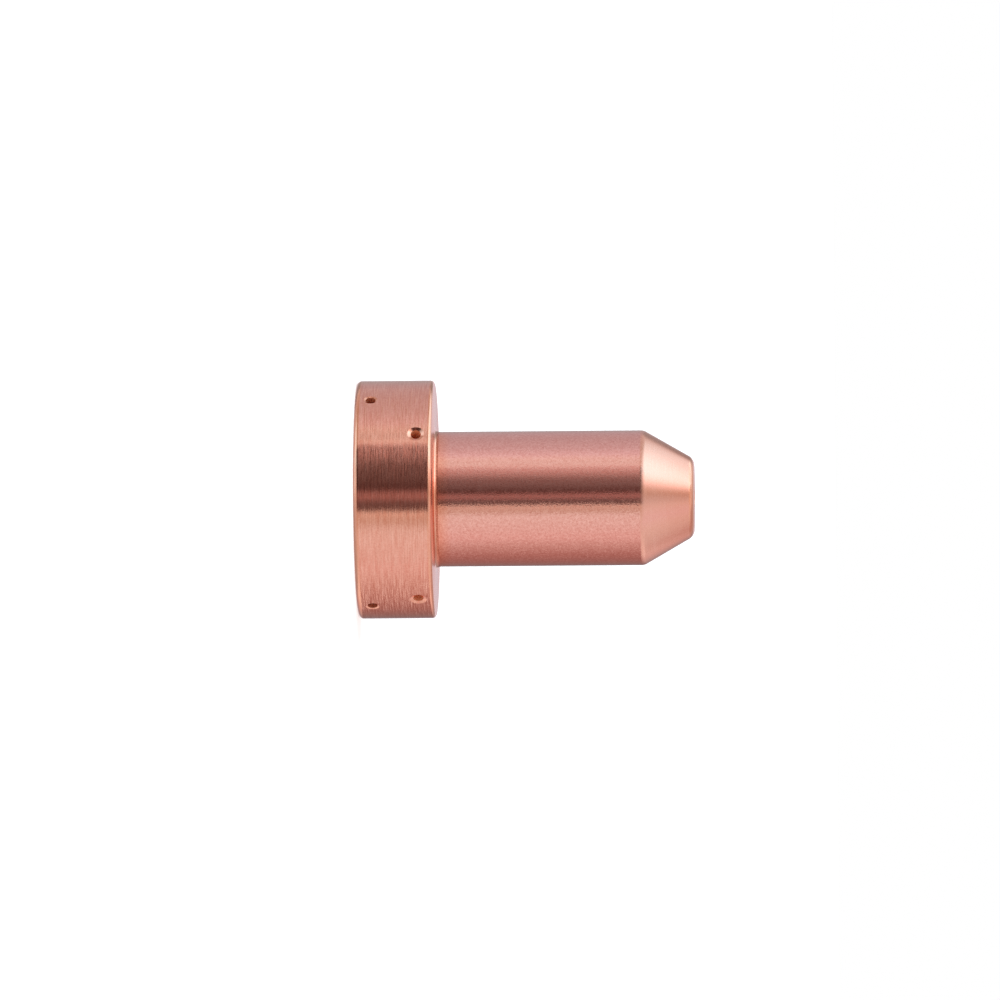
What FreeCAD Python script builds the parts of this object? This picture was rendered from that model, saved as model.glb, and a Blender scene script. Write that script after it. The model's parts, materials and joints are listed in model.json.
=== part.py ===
# Plasma torch nozzle, turned from one piece of copper bar.
#
# The nozzle stands on its flat rear face with its nose up. The origin is the centre of
# that face and +Z runs along the bore towards the nose. A thick head is clamped between
# the torch body and the shield cup, a long barrel reaches out through the cup, and a
# tapered nose ends in a small flat face, where the arc leaves. Inside, a counterbore
# seats the gas distributor, a funnel leads to the chamber round the electrode, and the
# throat narrows to the arc orifice. Two rows of fine ports let gas through the head's rim.
import FreeCAD, Part
import Sketcher
import os

# Every size of the nozzle, in millimetres, degrees or a plain count. A half angle is
# measured from the bore axis.
SIZES = [
    ("head_diameter", "17.8"),
    ("head_length", "5.8"),
    ("rear_edge_radius", "0.4"),
    ("shoulder_edge_radius", "0.3"),
    ("barrel_diameter", "10.1"),
    ("barrel_root_radius", "0.35"),
    ("overall_length", "25.17"),
    ("nose_half_angle", "30"),
    ("nose_face_diameter", "5.75"),
    ("nose_root_radius", "0.75"),
    ("nose_edge_radius", "0.75"),
    ("seat_diameter", "13.2"),
    ("seat_depth", "2.4"),
    ("seat_mouth_break", "0.3"),
    ("funnel_diameter", "10.4"),
    ("funnel_half_angle", "45"),
    ("chamber_diameter", "7.6"),
    ("throat_half_angle", "45"),
    ("throat_edge_radius", "0.6"),
    ("orifice_diameter", "1.1"),
    ("orifice_length", "3.6"),
    ("orifice_mouth_break", "0.15"),
    ("port_breakthrough", "0.6"),
    ("port_countersink_angle", "130"),
    ("rear_port_count", "3"),
    ("rear_port_diameter", "0.75"),
    ("rear_port_mouth", "1.03"),
    ("rear_port_setback", "1.2"),
    ("rear_port_phase", "90"),
    ("front_port_count", "4"),
    ("front_port_diameter", "0.77"),
    ("front_port_mouth", "1.26"),
    ("front_port_setback", "1.15"),
    ("front_port_phase", "53.5"),
]

# How closely an edge's radius and height must match to be picked, in millimetres.
MATCH = 1e-4

# A sketch's own origin point, as the pair of numbers that its constraints take.
ORIGIN_POINT = (-1, 1)


def make_sheet(doc):
    """The spreadsheet of driving sizes: each row holds a name and its aliased value."""
    sheet = doc.addObject("Spreadsheet::Sheet", "Sizes")
    for row, (name, value) in enumerate(SIZES, start=1):
        sheet.set(f"A{row}", name)
        sheet.set(f"B{row}", value)
        sheet.setAlias(f"B{row}", name)
    doc.recompute()
    return sheet


def origin_feature(body, role):
    """One of the body's own origin planes or axes."""
    return next(item for item in body.Origin.OriginFeatures if item.Role == role)


def new_sketch(body, name, role):
    """An empty sketch on one of the body's origin planes."""
    sketch = body.newObject("Sketcher::SketchObject", name)
    sketch.AttachmentSupport = (origin_feature(body, role), [""])
    sketch.MapMode = "FlatFace"
    return sketch


def closed_outline(body, name, corners):
    """A closed outline through rough corners, x outwards and y along the bore axis.

    The first corner is the origin. Lines drawn level or upright stay so, and bind()
    then sets the real sizes.
    """
    sketch = new_sketch(body, name, "XZ_Plane")
    count = len(corners)
    for i in range(count):
        start = FreeCAD.Vector(*corners[i])
        end = FreeCAD.Vector(*corners[(i + 1) % count])
        sketch.addGeometry(Part.LineSegment(start, end), False)
    for i in range(count):
        sketch.addConstraint(Sketcher.Constraint("Coincident", i, 2, (i + 1) % count, 1))
    sketch.addConstraint(Sketcher.Constraint("Coincident", 0, 1, *ORIGIN_POINT))
    for i in range(count):
        start, end = corners[i], corners[(i + 1) % count]
        if start[1] == end[1]:
            sketch.addConstraint(Sketcher.Constraint("Horizontal", i))
        elif start[0] == end[0]:
            sketch.addConstraint(Sketcher.Constraint("Vertical", i))
    return sketch


def bind(sketch, name, kind, items, expression):
    """Add a named dimension to a sketch and bind it to the sheet."""
    size = sketch.evalExpression(expression)
    value = size.getValueAs("rad") if kind == "Angle" else size
    index = sketch.addConstraint(Sketcher.Constraint(kind, *items, float(value)))
    sketch.renameConstraint(index, name)
    sketch.setExpression(f"Constraints.{name}", expression)


def bind_radius(sketch, name, line, expression):
    """Hold the start of a line at a distance from the bore axis."""
    bind(sketch, name, "DistanceX", (*ORIGIN_POINT, line, 1), expression)


def bind_height(sketch, name, line, expression):
    """Hold the start of a line at a height above the rear face."""
    bind(sketch, name, "DistanceY", (*ORIGIN_POINT, line, 1), expression)


def bind_half_angle(sketch, name, line, size):
    """Lean a line, drawn upwards, inwards from the bore axis by a half angle of the sheet."""
    bind(sketch, name, "Angle", (line,), f"90 deg + Sizes.{size} * 1 deg")


def outer_sketch(body):
    """Half of the turned outside: rear face, rim, shoulder, barrel, taper and nose face."""
    rear, rim, shoulder, barrel, taper, nose = range(6)
    sketch = closed_outline(
        body, "OuterOutline", [(0, 0), (9, 0), (9, 6), (5, 6), (5, 21), (3, 25), (0, 25)]
    )
    bind_radius(sketch, "HeadRadius", rim, "Sizes.head_diameter / 2")
    bind_height(sketch, "HeadLength", shoulder, "Sizes.head_length")
    bind_radius(sketch, "BarrelRadius", barrel, "Sizes.barrel_diameter / 2")
    bind_half_angle(sketch, "NoseHalfAngle", taper, "nose_half_angle")
    bind_radius(sketch, "NoseFaceRadius", nose, "Sizes.nose_face_diameter / 2")
    bind_height(sketch, "OverallLength", nose, "Sizes.overall_length")
    return sketch


def bore_sketch(body):
    """Half of the stepped bore: seat, funnel, electrode chamber, throat and arc orifice."""
    mouth, seat, ledge, funnel, chamber, throat, orifice, exit_plane = range(8)
    sketch = closed_outline(
        body,
        "BoreOutline",
        [(0, 0), (7, 0), (7, 2), (5, 2), (4, 3), (4, 18), (1, 21), (1, 25), (0, 25)],
    )
    bind_radius(sketch, "SeatRadius", seat, "Sizes.seat_diameter / 2")
    bind_height(sketch, "SeatDepth", ledge, "Sizes.seat_depth")
    bind_radius(sketch, "FunnelRadius", funnel, "Sizes.funnel_diameter / 2")
    bind_half_angle(sketch, "FunnelHalfAngle", funnel, "funnel_half_angle")
    bind_radius(sketch, "ChamberRadius", chamber, "Sizes.chamber_diameter / 2")
    bind_half_angle(sketch, "ThroatHalfAngle", throat, "throat_half_angle")
    bind_radius(sketch, "OrificeRadius", orifice, "Sizes.orifice_diameter / 2")
    bind_height(sketch, "OrificeStart", orifice, "Sizes.overall_length - Sizes.orifice_length")
    bind_height(sketch, "OrificeEnd", exit_plane, "Sizes.overall_length")
    return sketch


def turn(body, kind, name, sketch):
    """A full Revolution or Groove of a sketch about the bore axis."""
    feature = body.newObject(kind, name)
    feature.Profile = sketch
    feature.ReferenceAxis = (sketch, ["V_Axis"])
    feature.Angle = 360
    body.Document.recompute()
    return feature


def ring_edges(feature, radius, height):
    """Names of the round edges of a feature at this radius and height."""
    names = []
    for index, edge in enumerate(feature.Shape.Edges, start=1):
        ring = edge.Curve
        if (
            isinstance(ring, Part.Circle)
            and abs(ring.Radius - radius) < MATCH
            and abs(ring.Center.z - height) < MATCH
        ):
            names.append(f"Edge{index}")
    if not names:
        raise RuntimeError(f"no edge at radius {radius:.3f} and height {height:.3f}")
    return names


def round_ring(body, name, radius, height, size):
    """Round one turned edge to a radius of the sheet."""
    base = body.Tip
    fillet = body.newObject("PartDesign::Fillet", name)
    fillet.Base = (base, ring_edges(base, radius, height))
    fillet.setExpression("Radius", f"Sizes.{size}")
    body.Document.recompute()


def break_ring(body, name, radius, height, size):
    """Chamfer one turned edge at 45 degrees by a size of the sheet."""
    base = body.Tip
    chamfer = body.newObject("PartDesign::Chamfer", name)
    chamfer.Base = (base, ring_edges(base, radius, height))
    chamfer.setExpression("Size", f"Sizes.{size}")
    body.Document.recompute()


def drill_ports(body, row, height, depth):
    """Drill and countersink one row of radial ports in the head's rim.

    The sketch plane touches the rim at the row's phase. Its own y runs up the bore axis
    and its normal points away from the axis, so the drill runs inwards from it.
    """
    doc = body.Document
    phase = f"Sizes.{row}_port_phase"
    sketch = new_sketch(body, f"{row.title()}PortCentre", "YZ_Plane")
    sketch.AttachmentOffset = FreeCAD.Placement(
        FreeCAD.Vector(), FreeCAD.Rotation(FreeCAD.Vector(0, 1, 0), 1)
    )
    sketch.setExpression("AttachmentOffset.Base.x", f"Sizes.head_diameter / 2 * sin({phase})")
    sketch.setExpression("AttachmentOffset.Base.z", f"Sizes.head_diameter / 2 * cos({phase})")
    sketch.setExpression("AttachmentOffset.Rotation.Angle", f"{phase} * 1 deg")
    circle = Part.Circle(FreeCAD.Vector(0, 1, 0), FreeCAD.Vector(0, 0, 1), 1)
    sketch.addGeometry(circle, False)
    sketch.addConstraint(Sketcher.Constraint("PointOnObject", 0, 3, -2))
    bind(sketch, "Height", "DistanceY", (*ORIGIN_POINT, 0, 3), height)
    bind(sketch, "Bore", "Diameter", (0,), f"Sizes.{row}_port_diameter")
    doc.recompute()

    port = body.newObject("PartDesign::Hole", f"{row.title()}Port")
    port.Profile = sketch
    doc.recompute()
    port.DepthType = "Dimension"
    port.DrillPoint = "Angled"
    port.HoleCutType = "Countersink"
    port.HoleCutCustomValues = True
    port.setExpression("Diameter", f"Sizes.{row}_port_diameter")
    port.setExpression("Depth", depth)
    port.setExpression("HoleCutDiameter", f"Sizes.{row}_port_mouth")
    port.setExpression("HoleCutCountersinkAngle", "Sizes.port_countersink_angle * 1 deg")
    doc.recompute()

    pattern = body.newObject("PartDesign::PolarPattern", f"{row.title()}Ports")
    pattern.Originals = [port]
    pattern.Axis = (origin_feature(body, "Z_Axis"), [""])
    pattern.Angle = 360
    pattern.setExpression("Occurrences", f"Sizes.{row}_port_count")
    body.Tip = pattern
    doc.recompute()
    return pattern


def make_nozzle(doc, sheet):
    """The whole nozzle as one body, turned, bored, edged and drilled in that order."""
    body = doc.addObject("PartDesign::Body", "nozzle")
    body.Label = "nozzle"
    head_radius = sheet.head_diameter / 2
    barrel_radius = sheet.barrel_diameter / 2
    nose_radius = sheet.nose_face_diameter / 2
    chamber_radius = sheet.chamber_diameter / 2
    orifice_radius = sheet.orifice_diameter / 2

    outside = turn(body, "PartDesign::Revolution", "TurnedOutside", outer_sketch(body))
    blank_volume = outside.Shape.Volume
    taper_start = outside.Profile[0].evalExpression(
        "Sizes.overall_length - (Sizes.barrel_diameter - Sizes.nose_face_diameter) / 2"
        " / tan(Sizes.nose_half_angle)"
    )
    round_ring(body, "RearEdge", head_radius, 0, "rear_edge_radius")
    round_ring(body, "ShoulderEdge", head_radius, sheet.head_length, "shoulder_edge_radius")
    round_ring(body, "BarrelRoot", barrel_radius, sheet.head_length, "barrel_root_radius")
    round_ring(body, "NoseRoot", barrel_radius, taper_start, "nose_root_radius")
    round_ring(body, "NoseEdge", nose_radius, sheet.overall_length, "nose_edge_radius")

    edged_volume = body.Shape.Volume
    bore = turn(body, "PartDesign::Groove", "Bore", bore_sketch(body))
    throat_start = bore.Profile[0].evalExpression(
        "Sizes.overall_length - Sizes.orifice_length"
        " - (Sizes.chamber_diameter - Sizes.orifice_diameter) / 2"
        " / tan(Sizes.throat_half_angle)"
    )
    break_ring(body, "SeatMouth", sheet.seat_diameter / 2, 0, "seat_mouth_break")
    round_ring(body, "ThroatEdge", chamber_radius, throat_start, "throat_edge_radius")
    break_ring(
        body, "OrificeMouth", orifice_radius, sheet.overall_length, "orifice_mouth_break"
    )

    bored_volume = body.Shape.Volume
    drill_ports(
        body,
        "rear",
        "Sizes.rear_port_setback",
        "(Sizes.head_diameter - Sizes.seat_diameter) / 2 + Sizes.port_breakthrough",
    )
    rear_drilled_volume = body.Shape.Volume
    drill_ports(
        body,
        "front",
        "Sizes.head_length - Sizes.front_port_setback",
        "(Sizes.head_diameter - Sizes.chamber_diameter) / 2 + Sizes.port_breakthrough",
    )
    volumes = [
        ("turned blank", blank_volume),
        ("edged blank", edged_volume),
        ("bored", bored_volume),
        ("rear ports drilled", rear_drilled_volume),
        ("front ports drilled", body.Shape.Volume),
    ]
    for (before, larger), (after, smaller) in zip(volumes, volumes[1:]):
        if not smaller < larger:
            raise RuntimeError(f"nothing was cut between {before} and {after}")
    return body


def check_document(doc, bodies):
    """Stop where any feature has failed or a body's shape isn't one valid solid."""
    for item in doc.Objects:
        if "Invalid" in item.State or "Error" in item.State:
            raise RuntimeError(f"{item.Name} failed: {item.State}")
    for body in bodies:
        shape = body.Shape
        if shape.isNull() or not shape.isValid() or len(shape.Solids) != 1:
            raise RuntimeError(f"{body.Label} isn't one valid solid")


def main():
    """Build the document, check it and write each body to its STEP file."""
    doc = FreeCAD.newDocument("PlasmaTorchNozzle")
    sheet = make_sheet(doc)
    bodies = [make_nozzle(doc, sheet)]
    doc.recompute()
    check_document(doc, bodies)
    os.makedirs("parts", exist_ok=True)
    for body in bodies:
        body.Shape.exportStep(f"parts/{body.Label}.step")
        box = body.Shape.BoundBox
        print(f"{body.Label}: {body.Shape.Volume:.2f} mm3, top at z {box.ZMax:.3f} mm")


main()
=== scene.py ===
"""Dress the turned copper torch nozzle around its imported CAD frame.

The nozzle stands on the rear face of its head with its nose up. One finely turned mesh
stands for the CAD solid: it has the same outline, bore and ports, and each stretch of its
surface carries the finish that the lathe, the drill or the tumbling drum left on it.
"""

import json
import logging
import math
from dataclasses import dataclass, field
from enum import Enum
from typing import Any, Iterable

import bmesh
import bpy
from mathutils import Matrix, Vector


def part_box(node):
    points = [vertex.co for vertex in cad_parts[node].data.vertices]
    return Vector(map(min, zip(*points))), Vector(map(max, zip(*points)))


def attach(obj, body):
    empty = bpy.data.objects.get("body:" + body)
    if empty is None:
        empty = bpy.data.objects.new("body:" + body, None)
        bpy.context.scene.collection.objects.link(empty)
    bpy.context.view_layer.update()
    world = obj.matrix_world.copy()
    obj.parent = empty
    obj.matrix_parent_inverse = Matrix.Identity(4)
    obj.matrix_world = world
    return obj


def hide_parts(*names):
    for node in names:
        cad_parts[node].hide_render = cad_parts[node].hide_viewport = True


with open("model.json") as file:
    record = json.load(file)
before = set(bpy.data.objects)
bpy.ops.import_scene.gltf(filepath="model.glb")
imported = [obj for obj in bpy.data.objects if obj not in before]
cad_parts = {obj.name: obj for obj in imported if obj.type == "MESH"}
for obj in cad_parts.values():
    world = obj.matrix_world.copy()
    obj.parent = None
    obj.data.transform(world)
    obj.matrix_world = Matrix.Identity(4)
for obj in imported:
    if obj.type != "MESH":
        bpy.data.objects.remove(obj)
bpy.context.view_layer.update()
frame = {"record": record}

log = logging.getLogger("nozzle")

MM = 0.001
PICTURE_PX = 1000
SENSOR_MM = 36.0
NODE = "nozzle"
UP = Vector((0.0, 0.0, 1.0))

# Vertices closer than this are one vertex, in metres.
MERGE = 1e-7

# Most of a smooth noise lies between these two values.
NOISE_RANGE = (0.35, 0.65)

# Turned a quarter round the tangent, the smear of light runs along the axis.
QUARTER_TURN = 0.25

# The throat and the funnel are 45 degree cones, each as long as its radius grows.
CONE_HALF_ANGLE = 45


def linear(hex_colour: str) -> tuple[float, float, float, float]:
    """Turn an sRGB hex colour into linear red, green, blue and an alpha of one.

    Args:
        hex_colour: six hex digits after a hash, such as "#f0a890".

    Returns:
        The colour as Blender's sockets take it.
    """
    parts = [int(hex_colour[i:i + 2], 16) / 255 for i in (1, 3, 5)]
    r, g, b = (p / 12.92 if p <= 0.04045 else ((p + 0.055) / 1.055) ** 2.4 for p in parts)
    return (r, g, b, 1.0)


def add_node(
    tree: bpy.types.NodeTree, kind: str, inputs: dict[Any, Any] | None = None, **settings: Any
) -> bpy.types.Node:
    """Add one node to a tree, set its properties, and fill or link its inputs.

    Args:
        tree: the node tree that takes the node.
        kind: the node's type, such as "ShaderNodeMath".
        inputs: each input's name or index, with a plain value or the socket that feeds it.
            A Mix node takes its two numbers at 2 and 3, and its two colours at 6 and 7.
        settings: the node's own properties, such as operation="MULTIPLY".

    Returns:
        The new node.
    """
    node = tree.nodes.new(kind)
    for name, value in settings.items():
        setattr(node, name, value)
    for key, value in (inputs or {}).items():
        if isinstance(value, bpy.types.NodeSocket):
            tree.links.new(value, node.inputs[key])
        else:
            node.inputs[key].default_value = value
    return node


def mount_radius(name: str) -> float:
    """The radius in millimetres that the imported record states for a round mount."""
    mounts = {mount["name"]: mount for mount in frame["record"]["mounts"]}
    return mounts[name]["dims"]["r_mm"]


def new_object(name: str, mesh: bpy.types.Mesh) -> bpy.types.Object:
    """Link a mesh into the scene as an object at the origin."""
    obj = bpy.data.objects.new(name, mesh)
    bpy.context.scene.collection.objects.link(obj)
    return obj


class Lay(Enum):
    """How the tool marks of a finish run over the turned surface."""

    TURNED = "fine rings round the axis"
    GRAINED = "an even grain with no direction"


@dataclass(frozen=True)
class Tinge:
    """A warmer colour that fades in along the nozzle's axis between two heights. On the barrel it
    is a painted reflection of the copper shoulder.

    The colour is what is left of white light. start is the height in millimetres where
    it begins to show, and end the height where it is full.
    """

    colour: str
    start: float
    end: float


@dataclass(frozen=True)
class CopperFinish:
    """One finish on bare copper: how light scatters from it and what marks it carries.

    Widths, lengths and depths are in millimetres on the real surface. mark_length is how
    far a turned mark runs round the axis, which a grained finish leaves out.
    """

    name: str
    colour: str
    shade: str
    lay: Lay
    roughness: tuple[float, float]
    anisotropy: float
    mark_width: float
    mark_depth: float
    grain_width: float
    grain_depth: float
    mark_length: float = 1.0
    mottling: float = 0.5
    metallic: float = 1.0
    tinge: Tinge | None = None

    def material(self) -> bpy.types.Material:
        """Build the node material for this finish.

        Returns:
            The material, with its pattern on the piece's own Object coordinates.
        """
        material = bpy.data.materials.new(self.name)
        material.use_nodes = True
        tree = material.node_tree
        tree.nodes.clear()
        place = add_node(tree, "ShaderNodeTexCoord").outputs["Object"]
        marks = self._noise(tree, self._along_marks(tree, place), detail=2.0)
        grain = self._noise(tree, self._evenly(tree, place, self.grain_width), detail=1.0)
        blend = add_node(
            tree,
            "ShaderNodeMix",
            {"Factor": self.mottling, 2: marks, 3: grain},
            data_type="FLOAT",
        ).outputs[0]
        mottle = self._spread(tree, blend, 0.0, 1.0)
        tone = add_node(
            tree,
            "ShaderNodeMix",
            {"Factor": mottle, 6: linear(self.shade), 7: linear(self.colour)},
            data_type="RGBA",
        ).outputs[2]
        if self.tinge:
            tone = self._tinged(tree, place, tone)
        rings = add_node(
            tree,
            "ShaderNodeBump",
            {"Strength": 1.0, "Distance": self.mark_depth * MM, "Height": marks},
        ).outputs["Normal"]
        relief = add_node(
            tree,
            "ShaderNodeBump",
            {"Strength": 1.0, "Distance": self.grain_depth * MM, "Height": grain, "Normal": rings},
        ).outputs["Normal"]
        tangent = add_node(
            tree, "ShaderNodeTangent", direction_type="RADIAL", axis="Z"
        ).outputs["Tangent"]
        shader = add_node(
            tree,
            "ShaderNodeBsdfPrincipled",
            {
                "Base Color": tone,
                "Metallic": self.metallic,
                "Roughness": self._spread(tree, blend, *self.roughness),
                "Anisotropic": self.anisotropy,
                "Anisotropic Rotation": QUARTER_TURN,
                "Tangent": tangent,
                "Normal": relief,
            },
        ).outputs["BSDF"]
        add_node(tree, "ShaderNodeOutputMaterial", {"Surface": shader})
        return material

    def _tinged(
        self,
        tree: bpy.types.NodeTree,
        place: bpy.types.NodeSocket,
        tone: bpy.types.NodeSocket,
    ) -> bpy.types.NodeSocket:
        """Multiply a tone by the tinge's colour where the tinge shows."""
        height = add_node(tree, "ShaderNodeSeparateXYZ", {0: place}).outputs["Z"]
        start, end = self.tinge.start * MM, self.tinge.end * MM
        factor = add_node(
            tree, "ShaderNodeMapRange", {"Value": height, "From Min": start, "From Max": end}
        ).outputs["Result"]
        warm = add_node(
            tree,
            "ShaderNodeMix",
            {"Factor": factor, 6: tone, 7: linear(self.tinge.colour)},
            data_type="RGBA",
            blend_type="MULTIPLY",
        )
        return warm.outputs[2]

    def _spread(
        self, tree: bpy.types.NodeTree, noise: bpy.types.NodeSocket, low: float, high: float
    ) -> bpy.types.NodeSocket:
        """Stretch a noise's usual range over the range from low to high."""
        usual_low, usual_high = NOISE_RANGE
        spread = add_node(
            tree,
            "ShaderNodeMapRange",
            {
                "Value": noise,
                "From Min": usual_low,
                "From Max": usual_high,
                "To Min": low,
                "To Max": high,
            },
        )
        return spread.outputs["Result"]

    def _noise(
        self, tree: bpy.types.NodeTree, vector: bpy.types.NodeSocket, detail: float
    ) -> bpy.types.NodeSocket:
        """A smooth noise over a place that is already scaled to the size of its marks."""
        noise = add_node(
            tree, "ShaderNodeTexNoise", {"Vector": vector, "Scale": 1.0, "Detail": detail}
        )
        return noise.outputs["Fac"]

    def _evenly(
        self, tree: bpy.types.NodeTree, place: bpy.types.NodeSocket, width: float
    ) -> bpy.types.NodeSocket:
        """Scale a place alike in every direction, one unit to a grain's width."""
        scaled = add_node(
            tree, "ShaderNodeVectorMath", {0: place, "Scale": 1 / (width * MM)}, operation="SCALE"
        )
        return scaled.outputs["Vector"]

    def _along_marks(
        self, tree: bpy.types.NodeTree, place: bpy.types.NodeSocket
    ) -> bpy.types.NodeSocket:
        """Scale a place so that noise on it runs in rings round the axis.

        The way along the outline is the height less the radius, which changes on rims,
        faces and tapers alike. One unit of it is a mark's width, and one unit round the
        axis is a mark's length.
        """
        if self.lay is Lay.GRAINED:
            return self._evenly(tree, place, self.mark_width)
        axes = add_node(tree, "ShaderNodeSeparateXYZ", {0: place}).outputs
        level = add_node(tree, "ShaderNodeCombineXYZ", {0: axes["X"], 1: axes["Y"]}).outputs[0]
        radius = add_node(
            tree, "ShaderNodeVectorMath", {0: level}, operation="LENGTH"
        ).outputs["Value"]
        along = add_node(
            tree, "ShaderNodeMath", {0: axes["Z"], 1: radius}, operation="SUBTRACT"
        ).outputs[0]
        placed = add_node(
            tree, "ShaderNodeCombineXYZ", {0: axes["X"], 1: axes["Y"], 2: along}
        ).outputs[0]
        long = 1 / (self.mark_length * MM)
        scaled = add_node(
            tree,
            "ShaderNodeVectorMath",
            {0: placed, 1: (long, long, 1 / (self.mark_width * MM))},
            operation="MULTIPLY",
        )
        return scaled.outputs["Vector"]


# Turned copper rim: a fine feed leaves rings too close to see singly, so light smears
# along the axis and stays crisp round it, and the broken rings streak its dark reflections.
TURNED_RIM = CopperFinish(
    name="turned_copper_rim",
    colour="#ffbfab",
    shade="#ea9f89",
    lay=Lay.TURNED,
    roughness=(0.09, 0.18),
    anisotropy=0.88,
    mark_width=0.085,
    mark_length=1.7,
    mark_depth=0.015,
    grain_width=0.12,
    grain_depth=0.0008,
    mottling=0.35,
)

# Tumbled copper barrel: loose media has dulled the tool marks to an even satin grain,
# which speckles the edges of its reflections. Its tinge is a painted reflection: the copper
# is painted redder towards the shoulder, where the shoulder's copper is reflected.
SATIN_BARREL = CopperFinish(
    name="satin_copper_barrel",
    colour="#ffc3b5",
    shade="#e6a091",
    lay=Lay.GRAINED,
    roughness=(0.06, 0.18),
    anisotropy=0.2,
    mark_width=0.18,
    mark_depth=0.0022,
    grain_width=0.085,
    grain_depth=0.0056,
    # Painted reflection of the copper shoulder, full at the barrel's root.
    tinge=Tinge("#ffe9d4", 7.1, 6.0),
)

# Barrel's root: painted shade and reflection. A line of darker, redder copper beside the
# shoulder stands in for the shade in the corner and the shoulder's copper seen in it.
ROOT_PAINTED_SHADE = CopperFinish(
    name="copper_root_painted_shade",
    colour="#ed9278",
    shade="#bc674f",
    lay=Lay.TURNED,
    roughness=(0.22, 0.34),
    anisotropy=0.6,
    mark_width=0.08,
    mark_length=1.0,
    mark_depth=0.004,
    grain_width=0.12,
    grain_depth=0.001,
)

# Finish-turned taper: a lighter cut than the rim's, so its highlight is broad and smooth.
# The copper is a little warmer towards the nose.
TURNED_TAPER = CopperFinish(
    name="turned_copper_taper",
    colour="#fcbba8",
    shade="#f4af9b",
    lay=Lay.TURNED,
    roughness=(0.22, 0.28),
    anisotropy=0.85,
    mark_width=0.10,
    mark_length=2.0,
    mark_depth=0.0015,
    grain_width=0.16,
    grain_depth=0.0006,
    tinge=Tinge("#fdf4f0", 22.2, 24.4),
)

# Faced copper: the flat ends and the shoulder, cut square with a fine spiral.
FACED_END = CopperFinish(
    name="faced_copper_end",
    colour="#fab4a0",
    shade="#efa48e",
    lay=Lay.TURNED,
    roughness=(0.20, 0.28),
    anisotropy=0.6,
    mark_width=0.08,
    mark_length=3.0,
    mark_depth=0.003,
    grain_width=0.16,
    grain_depth=0.001,
)

# Broken edges: burnished bright where the sharp corners were taken off.
BURNISHED_EDGE = CopperFinish(
    name="burnished_copper_edge",
    colour="#fbb69c",
    shade="#f2a387",
    lay=Lay.TURNED,
    roughness=(0.14, 0.22),
    anisotropy=0.4,
    mark_width=0.07,
    mark_length=1.2,
    mark_depth=0.0015,
    grain_width=0.12,
    grain_depth=0.001,
)

# Bored copper: the inside, cut by a slender bar that leaves a coarser ring.
BORED_INSIDE = CopperFinish(
    name="bored_copper_inside",
    colour="#f2a88f",
    shade="#de9077",
    lay=Lay.TURNED,
    roughness=(0.28, 0.38),
    anisotropy=0.6,
    mark_width=0.16,
    mark_length=4.0,
    mark_depth=0.008,
    grain_width=0.16,
    grain_depth=0.001,
)

# Countersunk mouths: a small ring at each port that the tool has smeared bright.
COUNTERSUNK_MOUTH = CopperFinish(
    name="countersunk_copper_mouth",
    colour="#fab39c",
    shade="#ea9c84",
    lay=Lay.GRAINED,
    roughness=(0.14, 0.22),
    anisotropy=0.0,
    mark_width=0.10,
    mark_depth=0.001,
    grain_width=0.10,
    grain_depth=0.0005,
)

# Reamed bores: the rear ports and the orifice, smooth and half bright, so they look dark.
REAMED_BORE = CopperFinish(
    name="reamed_copper_bore",
    colour="#f0a07c",
    shade="#d98560",
    lay=Lay.GRAINED,
    roughness=(0.30, 0.40),
    anisotropy=0.0,
    mark_width=0.12,
    mark_depth=0.002,
    grain_width=0.08,
    grain_depth=0.001,
    metallic=0.5,
)

# Drilled bores: torn by the drill's lips and dulled, so they scatter what light comes in.
# Their pale orange colour is partly painted light, standing in for light from inside the nozzle.
DRILLED_BORE = CopperFinish(
    name="drilled_copper_bore",
    colour="#ffb488",
    shade="#f29a70",
    lay=Lay.GRAINED,
    roughness=(0.50, 0.60),
    anisotropy=0.0,
    mark_width=0.12,
    mark_depth=0.004,
    grain_width=0.08,
    grain_depth=0.001,
    metallic=0.1,
)


@dataclass(frozen=True)
class Corner:
    """A corner of the nozzle's half outline, in millimetres, and how it is broken.

    run is the length taken off each side of a turned corner, and steps is the number of
    flats that round it. A run of zero leaves it sharp.
    """

    radius: float
    height: float
    run: float = 0.0
    steps: int = 6
    finish: CopperFinish = BURNISHED_EDGE


@dataclass(frozen=True)
class Stretch:
    """A straight stretch of the half outline between two corners, and its finish."""

    start: Corner
    end: Corner
    finish: CopperFinish

    def distance(self, radius: float, height: float) -> float:
        """How far a point of the half outline lies from this stretch, in millimetres."""
        start = Vector((self.start.radius, self.start.height))
        way = Vector((self.end.radius, self.end.height)) - start
        point = Vector((radius, height))
        share = max(0.0, min(1.0, (point - start).dot(way) / way.length_squared))
        return (point - start - way * share).length


@dataclass(frozen=True)
class PortRow:
    """One row of radial gas ports in the head's rim, in millimetres and degrees."""

    count: int
    height: float
    phase: float
    bore: float
    mouth: float
    inner_radius: float
    finish: CopperFinish
    mouth_angle: float = 130.0

    def sink_depth(self) -> float:
        """How deep the countersink goes below the rim, in millimetres."""
        return (self.mouth - self.bore) / 2 / math.tan(math.radians(self.mouth_angle / 2))


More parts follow.
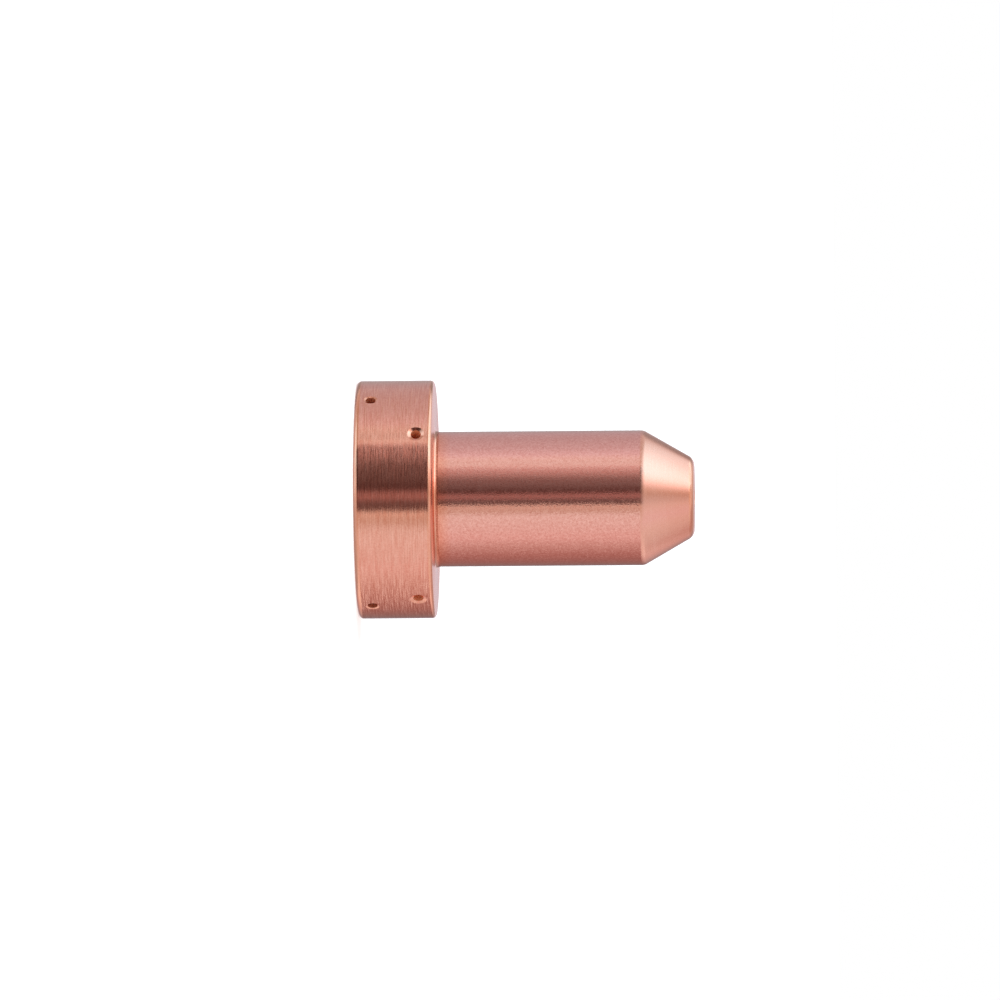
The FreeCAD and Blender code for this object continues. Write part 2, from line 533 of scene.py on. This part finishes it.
@dataclass
class Nozzle:
    """The whole nozzle, turned, edged and drilled as one mesh.

    Sizes are in millimetres and angles in degrees. The lean is how far the root's painted
    shade may face up, and crease_angle the least bend that stays a crisp edge.
    """

    head_radius: float = mount_radius("head_rim")
    barrel_radius: float = mount_radius("barrel")
    seat_radius: float = mount_radius("seat_bore")
    chamber_radius: float = mount_radius("electrode_bore")
    overall_length: float = (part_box(NODE)[1].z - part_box(NODE)[0].z) / MM
    head_length: float = 5.8
    nose_radius: float = 2.875
    nose_half_angle: float = 30.0
    seat_depth: float = 2.4
    funnel_radius: float = 5.2
    orifice_radius: float = 0.55
    orifice_length: float = 3.6
    rear_edge_radius: float = 0.4
    shoulder_edge_radius: float = 0.30
    root_radius: float = 0.35
    taper_edge_radius: float = 0.75
    nose_edge_radius: float = 0.75
    throat_edge_radius: float = 0.6
    seat_mouth_break: float = 0.3
    orifice_mouth_break: float = 0.15
    rear_port_setback: float = 1.2
    front_port_setback: float = 1.15
    painted_shade_lean: float = 28.0
    crease_angle: float = 25.0
    turns: int = 360
    port_turns: int = 48
    stretches: list[Stretch] = field(default_factory=list)
    ports: list[PortRow] = field(default_factory=list)

    def __post_init__(self) -> None:
        """Work out the half outline and the rows of ports from the sizes."""
        slope = math.radians(self.nose_half_angle)
        taper_start = (
            self.overall_length - (self.barrel_radius - self.nose_radius) / math.tan(slope)
        )
        orifice_start = self.overall_length - self.orifice_length
        throat_start = orifice_start - (self.chamber_radius - self.orifice_radius)
        funnel_end = self.seat_depth + self.funnel_radius - self.chamber_radius
        taper_run = self.taper_edge_radius * math.tan(slope / 2)
        nose_run = self.nose_edge_radius * math.tan((math.pi / 2 - slope) / 2)
        throat_run = self.throat_edge_radius * math.tan(math.radians(CONE_HALF_ANGLE / 2))
        rear = Corner(self.head_radius, 0.0, self.rear_edge_radius)
        shoulder = Corner(self.head_radius, self.head_length, self.shoulder_edge_radius)
        root = Corner(self.barrel_radius, self.head_length, self.root_radius)
        taper = Corner(self.barrel_radius, taper_start, taper_run, finish=TURNED_TAPER)
        nose = Corner(self.nose_radius, self.overall_length, nose_run)
        exit_ring = Corner(
            self.orifice_radius, self.overall_length, self.orifice_mouth_break, steps=1
        )
        orifice = Corner(self.orifice_radius, orifice_start)
        throat = Corner(self.chamber_radius, throat_start, throat_run)
        funnel = Corner(self.chamber_radius, funnel_end)
        ledge = Corner(self.funnel_radius, self.seat_depth)
        seat = Corner(self.seat_radius, self.seat_depth)
        mouth = Corner(self.seat_radius, 0.0, self.seat_mouth_break, steps=1)
        self.stretches = [
            Stretch(rear, shoulder, TURNED_RIM),
            Stretch(shoulder, root, FACED_END),
            Stretch(root, taper, SATIN_BARREL),
            Stretch(taper, nose, TURNED_TAPER),
            Stretch(nose, exit_ring, FACED_END),
            Stretch(exit_ring, orifice, REAMED_BORE),
            Stretch(orifice, throat, BORED_INSIDE),
            Stretch(throat, funnel, BORED_INSIDE),
            Stretch(funnel, ledge, BORED_INSIDE),
            Stretch(ledge, seat, FACED_END),
            Stretch(seat, mouth, BORED_INSIDE),
            Stretch(mouth, rear, FACED_END),
        ]
        self.ports = [
            PortRow(
                count=3,
                height=self.rear_port_setback,
                phase=90.0,
                bore=0.75,
                mouth=1.03,
                inner_radius=self.seat_radius,
                finish=REAMED_BORE,
            ),
            PortRow(
                count=4,
                height=self.head_length - self.front_port_setback,
                phase=53.5,
                bore=0.77,
                mouth=1.26,
                inner_radius=self.chamber_radius,
                finish=DRILLED_BORE,
            ),
        ]

    def finishes(self) -> list[CopperFinish]:
        """Every finish on the nozzle once, in the order of its material slots."""
        used = [stretch.finish for stretch in self.stretches]
        used += [row.finish for row in self.ports]
        used += [BURNISHED_EDGE, ROOT_PAINTED_SHADE, COUNTERSUNK_MOUTH]
        return list(dict.fromkeys(used))

    def build(self) -> bpy.types.Object:
        """Turn, edge and drill the nozzle and give it its materials.

        Returns:
            The finished object, riding on the root body in place of the CAD node.
        """
        turned = self._turned_mesh()
        drills = self._drill_mesh()
        drilled = self._cut(turned, drills)
        obj = new_object("copper_nozzle", self._smoothed(drilled))
        for finish in self.finishes():
            obj.data.materials.append(finish.material())
        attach(obj, "root")
        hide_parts(NODE)
        return obj

    def _turned_mesh(self) -> bpy.types.Mesh:
        """Spin the half outline round the axis, break its corners and mark each finish."""
        bm = bmesh.new()
        corners = [stretch.start for stretch in self.stretches]
        verts = [bm.verts.new((c.radius * MM, 0.0, c.height * MM)) for c in corners]
        for first, second in zip(verts, verts[1:] + verts[:1]):
            bm.edges.new((first, second))
        bmesh.ops.spin(
            bm,
            geom=bm.verts[:] + bm.edges[:],
            cent=(0.0, 0.0, 0.0),
            axis=UP,
            angle=2 * math.pi,
            steps=self.turns,
            use_merge=True,
        )
        bmesh.ops.remove_doubles(bm, verts=bm.verts[:], dist=MERGE)
        bmesh.ops.recalc_face_normals(bm, faces=bm.faces[:])
        finishes = self.finishes()
        for face in bm.faces:
            place = face.calc_center_median()
            nearest = min(
                self.stretches,
                key=lambda stretch: stretch.distance(place.xy.length / MM, place.z / MM),
            )
            face.material_index = finishes.index(nearest.finish)
        for corner in corners:
            if corner.run:
                self._break_corner(bm, corner)
        mesh = bpy.data.meshes.new("turned_nozzle")
        bm.to_mesh(mesh)
        bm.free()
        return mesh

    def _break_corner(self, bm: bmesh.types.BMesh, corner: Corner) -> None:
        """Round or chamfer one turned corner of the mesh and give it its finish.

        The side of the barrel's root that faces out most gets the root's painted shade and
        reflection.

        Args:
            bm: the turned mesh.
            corner: the corner of the outline, with its run and steps.
        """
        near = 1e-6
        steepest = math.sin(math.radians(self.painted_shade_lean))
        finished = self.finishes().index(corner.finish)
        painted_shade_slot = self.finishes().index(ROOT_PAINTED_SHADE)
        is_root = corner.radius == self.barrel_radius and corner.height == self.head_length

        def on_ring(vert: bmesh.types.BMVert) -> bool:
            """Whether a vertex lies on the corner's ring."""
            off_radius = abs(vert.co.xy.length - corner.radius * MM)
            off_height = abs(vert.co.z - corner.height * MM)
            return off_radius < near and off_height < near

        ring = [edge for edge in bm.edges if on_ring(edge.verts[0]) and on_ring(edge.verts[1])]
        made = bmesh.ops.bevel(
            bm,
            geom=ring,
            offset=corner.run * MM,
            offset_type="OFFSET",
            segments=corner.steps,
            profile=0.5,
            affect="EDGES",
            material=-1,
        )
        for face in made["faces"]:
            face.normal_update()
            # Faces of the root that face out most get darker, redder copper as painted shade and
            # reflection.
            in_painted_shade = is_root and face.normal.z < steepest
            face.material_index = painted_shade_slot if in_painted_shade else finished

    def _drill_mesh(self) -> bpy.types.Mesh:
        """Every drill that cuts a port, as one mesh of closed countersink drills."""
        bm = bmesh.new()
        for row in self.ports:
            for index in range(row.count):
                turn = math.radians(row.phase + index * 360 / row.count)
                self._add_drill(bm, row, turn)
        mesh = bpy.data.meshes.new("port_drills")
        bm.to_mesh(mesh)
        bm.free()
        return mesh

    def _add_drill(self, bm: bmesh.types.BMesh, row: PortRow, turn: float) -> None:
        """Add one countersink drill that points at the axis.

        Args:
            bm: the mesh that takes the drill.
            row: the port's row, with its sizes.
            turn: the drill's angle round the axis, in radians.
        """
        # The drill breaks through into the bore, and its shank stands proud of the rim.
        past = 0.6
        shank = 0.3
        bore, mouth = row.bore / 2, row.mouth / 2
        sink_start = self.head_radius - row.sink_depth()
        outline = [
            (row.inner_radius - past, 0.0),
            (row.inner_radius - past, bore),
            (sink_start, bore),
            (self.head_radius, mouth),
            (self.head_radius + shank, mouth),
            (self.head_radius + shank, 0.0),
        ]
        verts = [bm.verts.new((x * MM, 0.0, (row.height + r) * MM)) for x, r in outline]
        edges = [bm.edges.new(pair) for pair in zip(verts, verts[1:])]
        bmesh.ops.spin(
            bm,
            geom=verts + edges,
            cent=(0.0, 0.0, row.height * MM),
            axis=(1.0, 0.0, 0.0),
            angle=2 * math.pi,
            steps=self.port_turns,
            use_merge=True,
        )
        drill = [v for v in bm.verts if not v.tag]
        bmesh.ops.remove_doubles(bm, verts=drill, dist=MERGE)
        drill = [v for v in bm.verts if not v.tag]
        faces = list({face for vert in drill for face in vert.link_faces})
        bmesh.ops.recalc_face_normals(bm, faces=faces)
        for face in faces:
            finish = row.finish
            if face.calc_center_median().x > sink_start * MM:
                finish = COUNTERSUNK_MOUTH
            face.material_index = self.finishes().index(finish)
        bmesh.ops.rotate(bm, verts=drill, cent=(0, 0, 0), matrix=Matrix.Rotation(turn, 3, "Z"))
        for vert in drill:
            vert.tag = True

    def _cut(self, turned: bpy.types.Mesh, drills: bpy.types.Mesh) -> bpy.types.Mesh:
        """Take the drills out of the turned mesh and return the drilled one."""
        blank = new_object("blank", turned)
        cutter = new_object("cutter", drills)
        boolean = blank.modifiers.new("ports", "BOOLEAN")
        boolean.operation = "DIFFERENCE"
        boolean.solver = "EXACT"
        boolean.object = cutter
        depsgraph = bpy.context.evaluated_depsgraph_get()
        drilled = bpy.data.meshes.new_from_object(blank.evaluated_get(depsgraph))
        for obj in (blank, cutter):
            bpy.data.objects.remove(obj)
        return drilled

    def _smoothed(self, mesh: bpy.types.Mesh) -> bpy.types.Mesh:
        """Shade a mesh smooth, keep its real edges crisp and its long faces true."""
        mesh.shade_smooth()
        mesh.set_sharp_from_angle(angle=math.radians(self.crease_angle))
        raw = new_object("raw", mesh)
        weighted = raw.modifiers.new("true_faces", "WEIGHTED_NORMAL")
        weighted.keep_sharp = True
        weighted.weight = 100
        depsgraph = bpy.context.evaluated_depsgraph_get()
        smoothed = bpy.data.meshes.new_from_object(raw.evaluated_get(depsgraph))
        bpy.data.objects.remove(raw)
        return smoothed


@dataclass(frozen=True)
class Viewpoint:
    """Where the picture is taken from. Angles are in degrees and lengths in millimetres.

    The camera faces the nozzle's side and is rolled so that the nose points right. right
    and down are where the aimed point of the axis lies from the picture's centre.
    """

    azimuth: float = 266.8
    elevation: float = 2.05
    roll: float = 0.4525
    focal_px: float = 14000.0
    px_per_mm: float = 13.37
    aim_height: float = 12.55
    right: float = 1.933
    down: float = -0.11

    def facing(self) -> Vector:
        """The level direction from the nozzle's axis towards the camera."""
        turn = math.radians(self.azimuth)
        return Vector((math.cos(turn), math.sin(turn), 0.0))

    def above(self) -> Vector:
        """The level direction that the picture shows as up."""
        return UP.cross(self.facing()) * -1

    def place_camera(self) -> bpy.types.Object:
        """Make the scene's camera, measured from the point on the axis at its aim height.

        Returns:
            The camera object.
        """
        aim = UP * self.aim_height * MM
        lift, roll = math.radians(self.elevation), math.radians(self.roll)
        level = UP * math.cos(lift) - self.facing() * math.sin(lift)
        right = level * math.cos(roll) - self.above() * math.sin(roll)
        down = level * -math.sin(roll) - self.above() * math.cos(roll)
        away = UP * -math.sin(lift) - self.facing() * math.cos(lift)
        distance = self.focal_px / self.px_per_mm
        offset = right * self.right + down * self.down + away * distance
        data = bpy.data.cameras.new("camera")
        data.sensor_width = SENSOR_MM
        data.lens = self.focal_px * SENSOR_MM / PICTURE_PX
        data.clip_start = 0.01
        data.clip_end = 20.0
        camera = bpy.data.objects.new("camera", data)
        axes = Matrix((right, -down, -away)).transposed()
        camera.matrix_world = Matrix.Translation(aim - offset * MM) @ axes.to_4x4()
        bpy.context.scene.collection.objects.link(camera)
        bpy.context.scene.camera = camera
        return camera


class Tint(Enum):
    """The colours of the studio's light."""

    PLAIN = "#ffffff"
    COOL = "#d3f3ff"
    AMBER = "#fff2e5"
    ROSE = "#ffecec"
    HAZE = "#f9f4ff"
    EMBER = "#ffcdc8"
    DUSKY = "#ffe2df"


@dataclass(frozen=True)
class Band:
    """The studio's light at one angle round the nozzle, in degrees from the camera."""

    angle: float
    level: float
    tint: Tint = Tint.PLAIN


# Level light all round, seen in the rim and the barrel: a dark gap where the camera and
# its stand are, a dim strip through it, pale walls beside and behind.
WALLS = [
    Band(-180, 0.80, Tint.HAZE),
    Band(-172, 0.82, Tint.HAZE),
    Band(-168, 0.24, Tint.ROSE),
    Band(-135, 0.36, Tint.EMBER),
    Band(-112, 0.46, Tint.EMBER),
    Band(-90, 0.64, Tint.DUSKY),
    Band(-70, 0.84, Tint.ROSE),
    Band(-30, 0.87),
    Band(-26, 0.81),
    Band(-24.5, 0.67, Tint.AMBER),
    Band(-16, 0.67, Tint.AMBER),
    Band(-11.6, 0.92, Tint.AMBER),
    Band(-10.6, 0.15, Tint.DUSKY),
    Band(-2, 0.18, Tint.DUSKY),
    Band(2, 0.44, Tint.EMBER),
    Band(5.5, 0.44, Tint.EMBER),
    Band(10, 0.12, Tint.EMBER),
    Band(14, 0.13, Tint.EMBER),
    Band(20, 0.20, Tint.DUSKY),
    Band(33, 0.29, Tint.DUSKY),
    Band(46, 0.63, Tint.DUSKY),
    Band(55, 0.80, Tint.ROSE),
    Band(58, 0.93),
    Band(64, 0.85),
    Band(71, 0.93),
    Band(80, 0.89, Tint.HAZE),
    Band(95, 0.72, Tint.HAZE),
    Band(120, 0.61, Tint.HAZE),
    Band(145, 0.57, Tint.HAZE),
    Band(168, 0.42),
    Band(172, 0.86, Tint.HAZE),
    Band(180, 0.80, Tint.HAZE),
]

# Dimmer, warmer light above and below the walls, seen where a corner turns: it draws a
# thin dark line between the barrel and the taper and beside the head's edges.
BORDERS = [
    Band(-180, 0.80, Tint.HAZE),
    Band(-172, 0.82, Tint.HAZE),
    Band(-166, 0.34, Tint.ROSE),
    Band(-134, 0.79, Tint.ROSE),
    Band(-122, 0.95),
    Band(-110, 1.0),
    Band(-90, 0.91),
    Band(-65, 0.80),
    Band(-40, 0.82),
    Band(-18, 0.64, Tint.AMBER),
    Band(-12, 0.84, Tint.AMBER),
    Band(-11, 0.13, Tint.EMBER),
    Band(-2, 0.16, Tint.EMBER),
    Band(2, 0.30, Tint.EMBER),
    Band(5.5, 0.28, Tint.EMBER),
    Band(10, 0.07, Tint.EMBER),
    Band(14, 0.08, Tint.EMBER),
    Band(33, 0.06, Tint.EMBER),
    Band(42, 0.11, Tint.DUSKY),
    Band(54, 0.10, Tint.DUSKY),
    Band(57.5, 0.78, Tint.AMBER),
    Band(63, 0.54, Tint.AMBER),
    Band(75, 0.60, Tint.AMBER),
    Band(100, 0.54, Tint.AMBER),
    Band(138, 0.70),
    Band(143, 0.36),
    Band(166, 0.36),
    Band(172, 0.86, Tint.HAZE),
    Band(180, 0.80, Tint.HAZE),
]

# Light from beyond the nose, seen in the taper: a large cool softbox on the upper side.
BEYOND_NOSE = [
    Band(-180, 0.60),
    Band(-140, 0.50, Tint.DUSKY),
    Band(-117, 0.62, Tint.ROSE),
    Band(-100, 0.74),
    Band(-70, 0.84),
    Band(-50, 0.90, Tint.HAZE),
    Band(-22, 0.82),
    Band(-6, 0.68),
    Band(11, 0.60, Tint.AMBER),
    Band(21, 0.77, Tint.AMBER),
    Band(31, 1.05),
    Band(42, 1.6),
    Band(56, 2.3, Tint.COOL),
    Band(78, 2.3, Tint.COOL),
    Band(104, 1.9, Tint.COOL),
    Band(118, 1.68, Tint.COOL),
    Band(138, 2.0, Tint.COOL),
    Band(145, 1.4, Tint.COOL),
    Band(152, 0.80),
    Band(180, 0.60),
]

# Light from straight ahead of the nose, seen in its edge and in the barrel's root: a
# plain ceiling without the softbox.
CEILING = [
    Band(-180, 0.84),
    Band(0, 0.82, Tint.AMBER),
    Band(90, 0.74, Tint.AMBER),
    Band(180, 0.84),
]

# Light from behind the head, seen in its rear edge.
BEHIND_HEAD = [
    Band(-180, 0.5),
    Band(-126, 0.5),
    Band(-90, 0.6),
    Band(-50, 0.7),
    Band(-10, 0.65),
    Band(20, 0.9),
    Band(50, 1.2, Tint.COOL),
    Band(72, 1.7, Tint.COOL),
    Band(95, 1.7, Tint.COOL),
    Band(115, 0.7),
    Band(180, 0.6),
]


@dataclass(frozen=True)
class Studio:
    """The plain studio: a pale floor, and soft light from walls and a softbox.

    A share is the height of a direction, from -1 straight down to 1 straight up. The
    floor's radius is in metres.
    """

    viewpoint: Viewpoint
    border_share: tuple[float, float] = (0.08, 0.14)
    nose_share: tuple[float, float] = (0.33, 0.56)
    ceiling_share: tuple[float, float] = (0.93, 0.97)
    head_share: tuple[float, float] = (-0.54, -0.66)
    brightest: float = 2.5
    floor_colour: str = "#f4f4f4"
    floor_glow: float = 0.50
    floor_radius: float = 3.0
    floor_sides: int = 96

    def build(self) -> None:
        """Make the floor and the light, and show colours as they are."""
        bpy.context.scene.view_settings.view_transform = "Standard"
        self._light_world()
        self._lay_floor()

    def _light_world(self) -> None:
        """Paint the studio's brightness on the world by direction, and white for the camera."""
        world = bpy.data.worlds.new("studio")
        bpy.context.scene.world = world
        world.use_nodes = True
        tree = world.node_tree
        tree.nodes.clear()
        way = add_node(tree, "ShaderNodeTexCoord").outputs["Generated"]
        towards = self._part(tree, way, self.viewpoint.facing())
        above = self._part(tree, way, self.viewpoint.above())
        height = self._part(tree, way, UP)
        angle = add_node(
            tree, "ShaderNodeMath", {0: above, 1: towards}, operation="ARCTAN2"
        ).outputs[0]
        share = add_node(
            tree,
            "ShaderNodeMapRange",
            {"Value": angle, "From Min": -math.pi, "From Max": math.pi},
        ).outputs["Result"]
        walls = self._ramp(tree, share, WALLS)
        borders = self._ramp(tree, share, BORDERS)
        nose = self._ramp(tree, share, BEYOND_NOSE)
        ceiling = self._ramp(tree, share, CEILING)
        head = self._ramp(tree, share, BEHIND_HEAD)
        slope = add_node(
            tree, "ShaderNodeMath", {0: height}, operation="ABSOLUTE"
        ).outputs[0]
        level = self._blend(tree, slope, self.border_share, walls, borders)
        level = self._blend(tree, height, self.nose_share, level, nose)
        level = self._blend(tree, height, self.ceiling_share, level, ceiling)
        level = self._blend(tree, height, self.head_share, level, head)
        light = add_node(
            tree, "ShaderNodeBackground", {"Color": level, "Strength": self.brightest}
        ).outputs[0]
        white = add_node(
            tree, "ShaderNodeBackground", {"Color": linear("#ffffff"), "Strength": 1.0}
        ).outputs[0]
        seen = add_node(tree, "ShaderNodeLightPath").outputs["Is Camera Ray"]
        mixed = add_node(tree, "ShaderNodeMixShader", {0: seen, 1: light, 2: white}).outputs[0]
        add_node(tree, "ShaderNodeOutputWorld", {"Surface": mixed})

    def _part(
        self, tree: bpy.types.NodeTree, way: bpy.types.NodeSocket, axis: Vector
    ) -> bpy.types.NodeSocket:
        """How much of a direction lies along an axis."""
        dot = add_node(
            tree, "ShaderNodeVectorMath", {0: way, 1: tuple(axis)}, operation="DOT_PRODUCT"
        )
        return dot.outputs["Value"]

    def _ramp(
        self, tree: bpy.types.NodeTree, share: bpy.types.NodeSocket, bands: Iterable[Band]
    ) -> bpy.types.NodeSocket:
        """A ramp of brightness over the full turn, as shares of the brightest level."""
        ramp = add_node(tree, "ShaderNodeValToRGB", {"Fac": share})
        stops = ramp.color_ramp.elements
        stops.remove(stops[1])
        for index, band in enumerate(bands):
            place = (band.angle + 180) / 360
            stop = stops[0] if index == 0 else stops.new(place)
            stop.position = place
            tint = linear(band.tint.value)
            stop.color = (*[part * band.level / self.brightest for part in tint[:3]], 1.0)
        return ramp.outputs["Color"]

    def _blend(
        self,
        tree: bpy.types.NodeTree,
        height: bpy.types.NodeSocket,
        between: tuple[float, float],
        first: bpy.types.NodeSocket,
        second: bpy.types.NodeSocket,
    ) -> bpy.types.NodeSocket:
        """Pass from the first light to the second between two heights of a direction."""
        factor = add_node(
            tree,
            "ShaderNodeMapRange",
            {"Value": height, "From Min": between[0], "From Max": between[1]},
            interpolation_type="SMOOTHSTEP",
        ).outputs["Result"]
        mix = add_node(
            tree, "ShaderNodeMix", {"Factor": factor, 6: first, 7: second}, data_type="RGBA"
        )
        return mix.outputs[2]

    def _lay_floor(self) -> None:
        """Lay a round pale floor under the nozzle.

        It glows for the camera alone, so that it reads as white paper and still keeps
        the nozzle's shadow. The copper mirrors the studio's walls and not the floor, as
        it does when a part is shot on glass above them.
        """
        bm = bmesh.new()
        bmesh.ops.create_circle(
            bm, cap_ends=True, radius=self.floor_radius, segments=self.floor_sides
        )
        mesh = bpy.data.meshes.new("floor")
        bm.to_mesh(mesh)
        bm.free()
        material = bpy.data.materials.new("white_paper_floor")
        material.use_nodes = True
        tree = material.node_tree
        tree.nodes.clear()
        paper = add_node(
            tree, "ShaderNodeBsdfDiffuse", {"Color": linear(self.floor_colour)}
        ).outputs[0]
        glow = add_node(
            tree, "ShaderNodeEmission", {"Color": linear("#ffffff"), "Strength": self.floor_glow}
        ).outputs[0]
        both = add_node(tree, "ShaderNodeAddShader", {0: paper, 1: glow}).outputs[0]
        seen = add_node(tree, "ShaderNodeLightPath").outputs["Is Camera Ray"]
        mixed = add_node(tree, "ShaderNodeMixShader", {0: seen, 1: paper, 2: both}).outputs[0]
        add_node(tree, "ShaderNodeOutputMaterial", {"Surface": mixed})
        mesh.materials.append(material)
        floor = new_object("floor", mesh)
        floor.visible_glossy = False


def main() -> None:
    """Build the nozzle, its studio and the camera, and report each piece."""
    logging.basicConfig(level=logging.INFO, format="%(name)s: %(message)s")
    nozzle = Nozzle()
    obj = nozzle.build()
    log.info("%s: %d faces", obj.name, len(obj.data.polygons))
    viewpoint = Viewpoint()
    viewpoint.place_camera()
    Studio(viewpoint).build()
    log.info("studio and camera in place")


if __name__ == "__main__":
    main()
